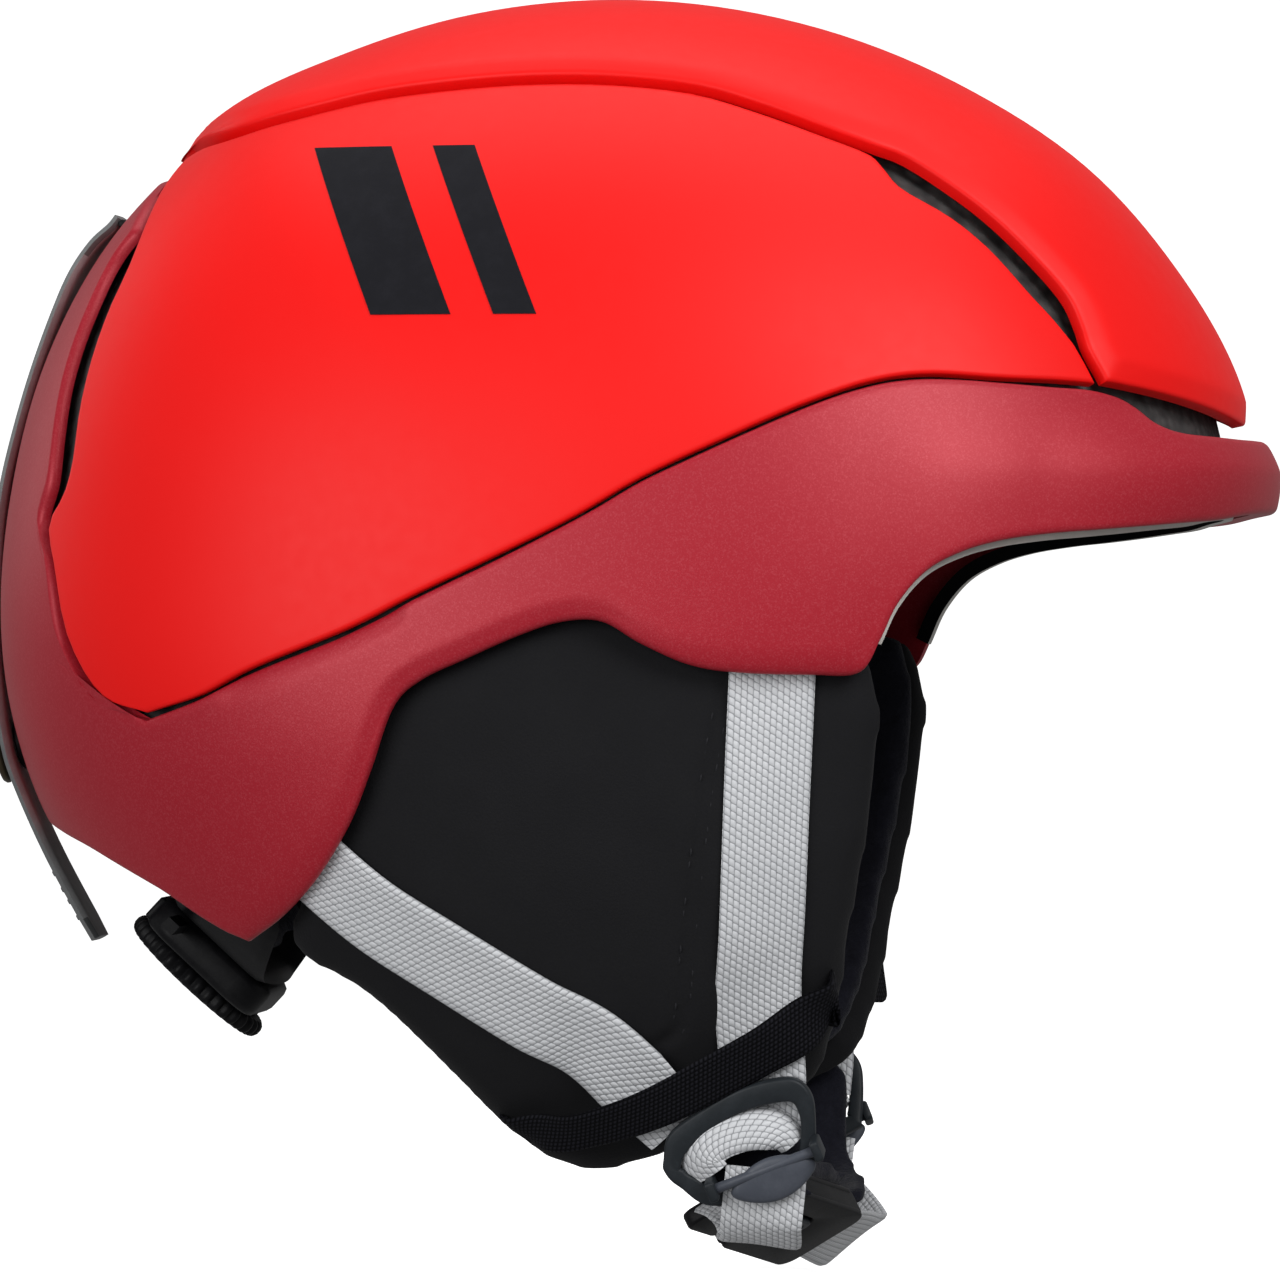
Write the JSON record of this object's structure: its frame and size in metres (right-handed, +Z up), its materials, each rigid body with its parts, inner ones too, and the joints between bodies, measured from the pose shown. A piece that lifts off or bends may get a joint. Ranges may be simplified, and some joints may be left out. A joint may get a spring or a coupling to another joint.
{
  "type": "ski helmet",
  "caption": "Hard-shell ski helmet with soft ear pads, woven chin strap with buckle and pad, rear goggle-strap retainer and a turning fit dial at the nape.",
  "frame": {"origin": "where the crown of the wearer's head meets the crown pad, in the helmet's centre plane", "axes": "+X towards the face opening, +Y to the wearer's left, +Z up"},
  "size_m": [0.2792, 0.2136, 0.275],
  "materials": {
    "red_shell": "matte",
    "raspberry_shell": "satin",
    "trim_rubber": "matte",
    "foam": "matte",
    "fleece": "matte",
    "softshell": "matte",
    "webbing": "satin",
    "elastic": "matte",
    "slate_plastic": "satin",
    "black_plastic": "satin",
    "retainer_rubber": "satin",
    "bronze": "satin",
    "steel": "satin"
  },
  "bodies": {
    "helmet": {"crown_shell": "red_shell", "side_shell_right": "red_shell", "side_shell_left": "red_shell", "lower_shell": "raspberry_shell", "brow_trim": "trim_rubber", "eps_liner": "foam", "crown_pad": "fleece", "brow_pad": "fleece", "nape_pad": "fleece", "side_pad_right": "fleece", "side_pad_left": "fleece", "ear_pad_right": "softshell", "ear_pad_left": "softshell", "ear_lining_right": "fleece", "ear_lining_left": "fleece", "divider_right": "slate_plastic", "divider_left": "slate_plastic", "front_strap_right": "webbing", "front_strap_left": "webbing", "rear_strap_right": "webbing", "rear_strap_left": "webbing", "keeper_band_right": "elastic", "keeper_band_left": "elastic", "front_anchor_right": "black_plastic", "front_anchor_left": "black_plastic", "rear_anchor_right": "black_plastic", "rear_anchor_left": "black_plastic", "snap_stud": "black_plastic", "retainer_pin": "black_plastic", "dial_housing": "black_plastic", "fit_cradle": "black_plastic", "cradle_pad": "fleece", "cradle_stem": "black_plastic", "cradle_rivet": "steel"},
    "goggle_retainer": {"goggle_strap": "retainer_rubber", "snap_cap": "bronze"},
    "fit_dial": {"fit_dial": "black_plastic", "dial_stem": "black_plastic", "dial_pinion": "black_plastic", "dial_screw": "steel"},
    "fit_band_right": {"fit_band_right": "black_plastic"},
    "fit_band_left": {"fit_band_left": "black_plastic"},
    "divider_lever_right": {"divider_lever_right": "slate_plastic"},
    "divider_lever_left": {"divider_lever_left": "slate_plastic"},
    "chin_sling": {"chin_webbing_right": "webbing", "chin_webbing_left": "webbing", "chin_pad": "fleece", "strap_pad_right": "fleece", "strap_pad_left": "fleece", "buckle_socket": "black_plastic"},
    "buckle_plug": {"buckle_plug": "black_plastic"},
    "buckle_button": {"buckle_button": "slate_plastic"}
  },
  "joints": [
    {"name": "goggle_retainer_hinge", "type": "hinge", "parent": "helmet", "child": "goggle_retainer", "pos_m": [-0.1126, 0, -0.0126], "axis": [0, 1, 0], "range_deg": [0, 60]},
    {"name": "fit_dial_turn", "type": "hinge", "parent": "helmet", "child": "fit_dial", "pos_m": [-0.0942, 0, -0.1749], "axis": [0.6832, 0, 0.7302], "range_deg": [0, 95]},
    {"name": "fit_band_right_slide", "type": "slide", "parent": "helmet", "child": "fit_band_right", "axis": [0, -1, 0], "range_m": [0, 0.01]},
    {"name": "fit_band_left_slide", "type": "slide", "parent": "helmet", "child": "fit_band_left", "axis": [0, 1, 0], "range_m": [0, 0.01]},
    {"name": "divider_lever_right_flip", "type": "hinge", "parent": "helmet", "child": "divider_lever_right", "pos_m": [0.03083, -0.08512, -0.21498], "axis": [-0.9272, 0.0906, -0.3635], "range_deg": [0, 75]},
    {"name": "divider_lever_left_flip", "type": "hinge", "parent": "helmet", "child": "divider_lever_left", "pos_m": [0.03083, 0.08512, -0.21498], "axis": [0.9272, 0.0906, 0.3635], "range_deg": [0, 75]},
    {"name": "chin_swing", "type": "hinge", "parent": "helmet", "child": "chin_sling", "pos_m": [0.0316, 0, -0.213], "axis": [0, 1, 0], "range_deg": [-10, 10]},
    {"name": "buckle_release", "type": "slide", "parent": "chin_sling", "child": "buckle_plug", "axis": [-0.3101, -0.9357, 0.168], "range_m": [0, 0.024], "deforming": ["chin_webbing_right"]},
    {"name": "buckle_button_press", "type": "slide", "parent": "chin_sling", "child": "buckle_button", "axis": [-0.4504, 0.3003, 0.8408], "range_m": [0, 0.0008], "stiffness_N_per_m": 400}
  ],
  "couplings": [
    {"joint": "fit_band_right_slide", "follows": "fit_dial_turn", "m_per_rad": 0.006},
    {"joint": "fit_band_left_slide", "follows": "fit_dial_turn", "m_per_rad": 0.006}
  ]
}
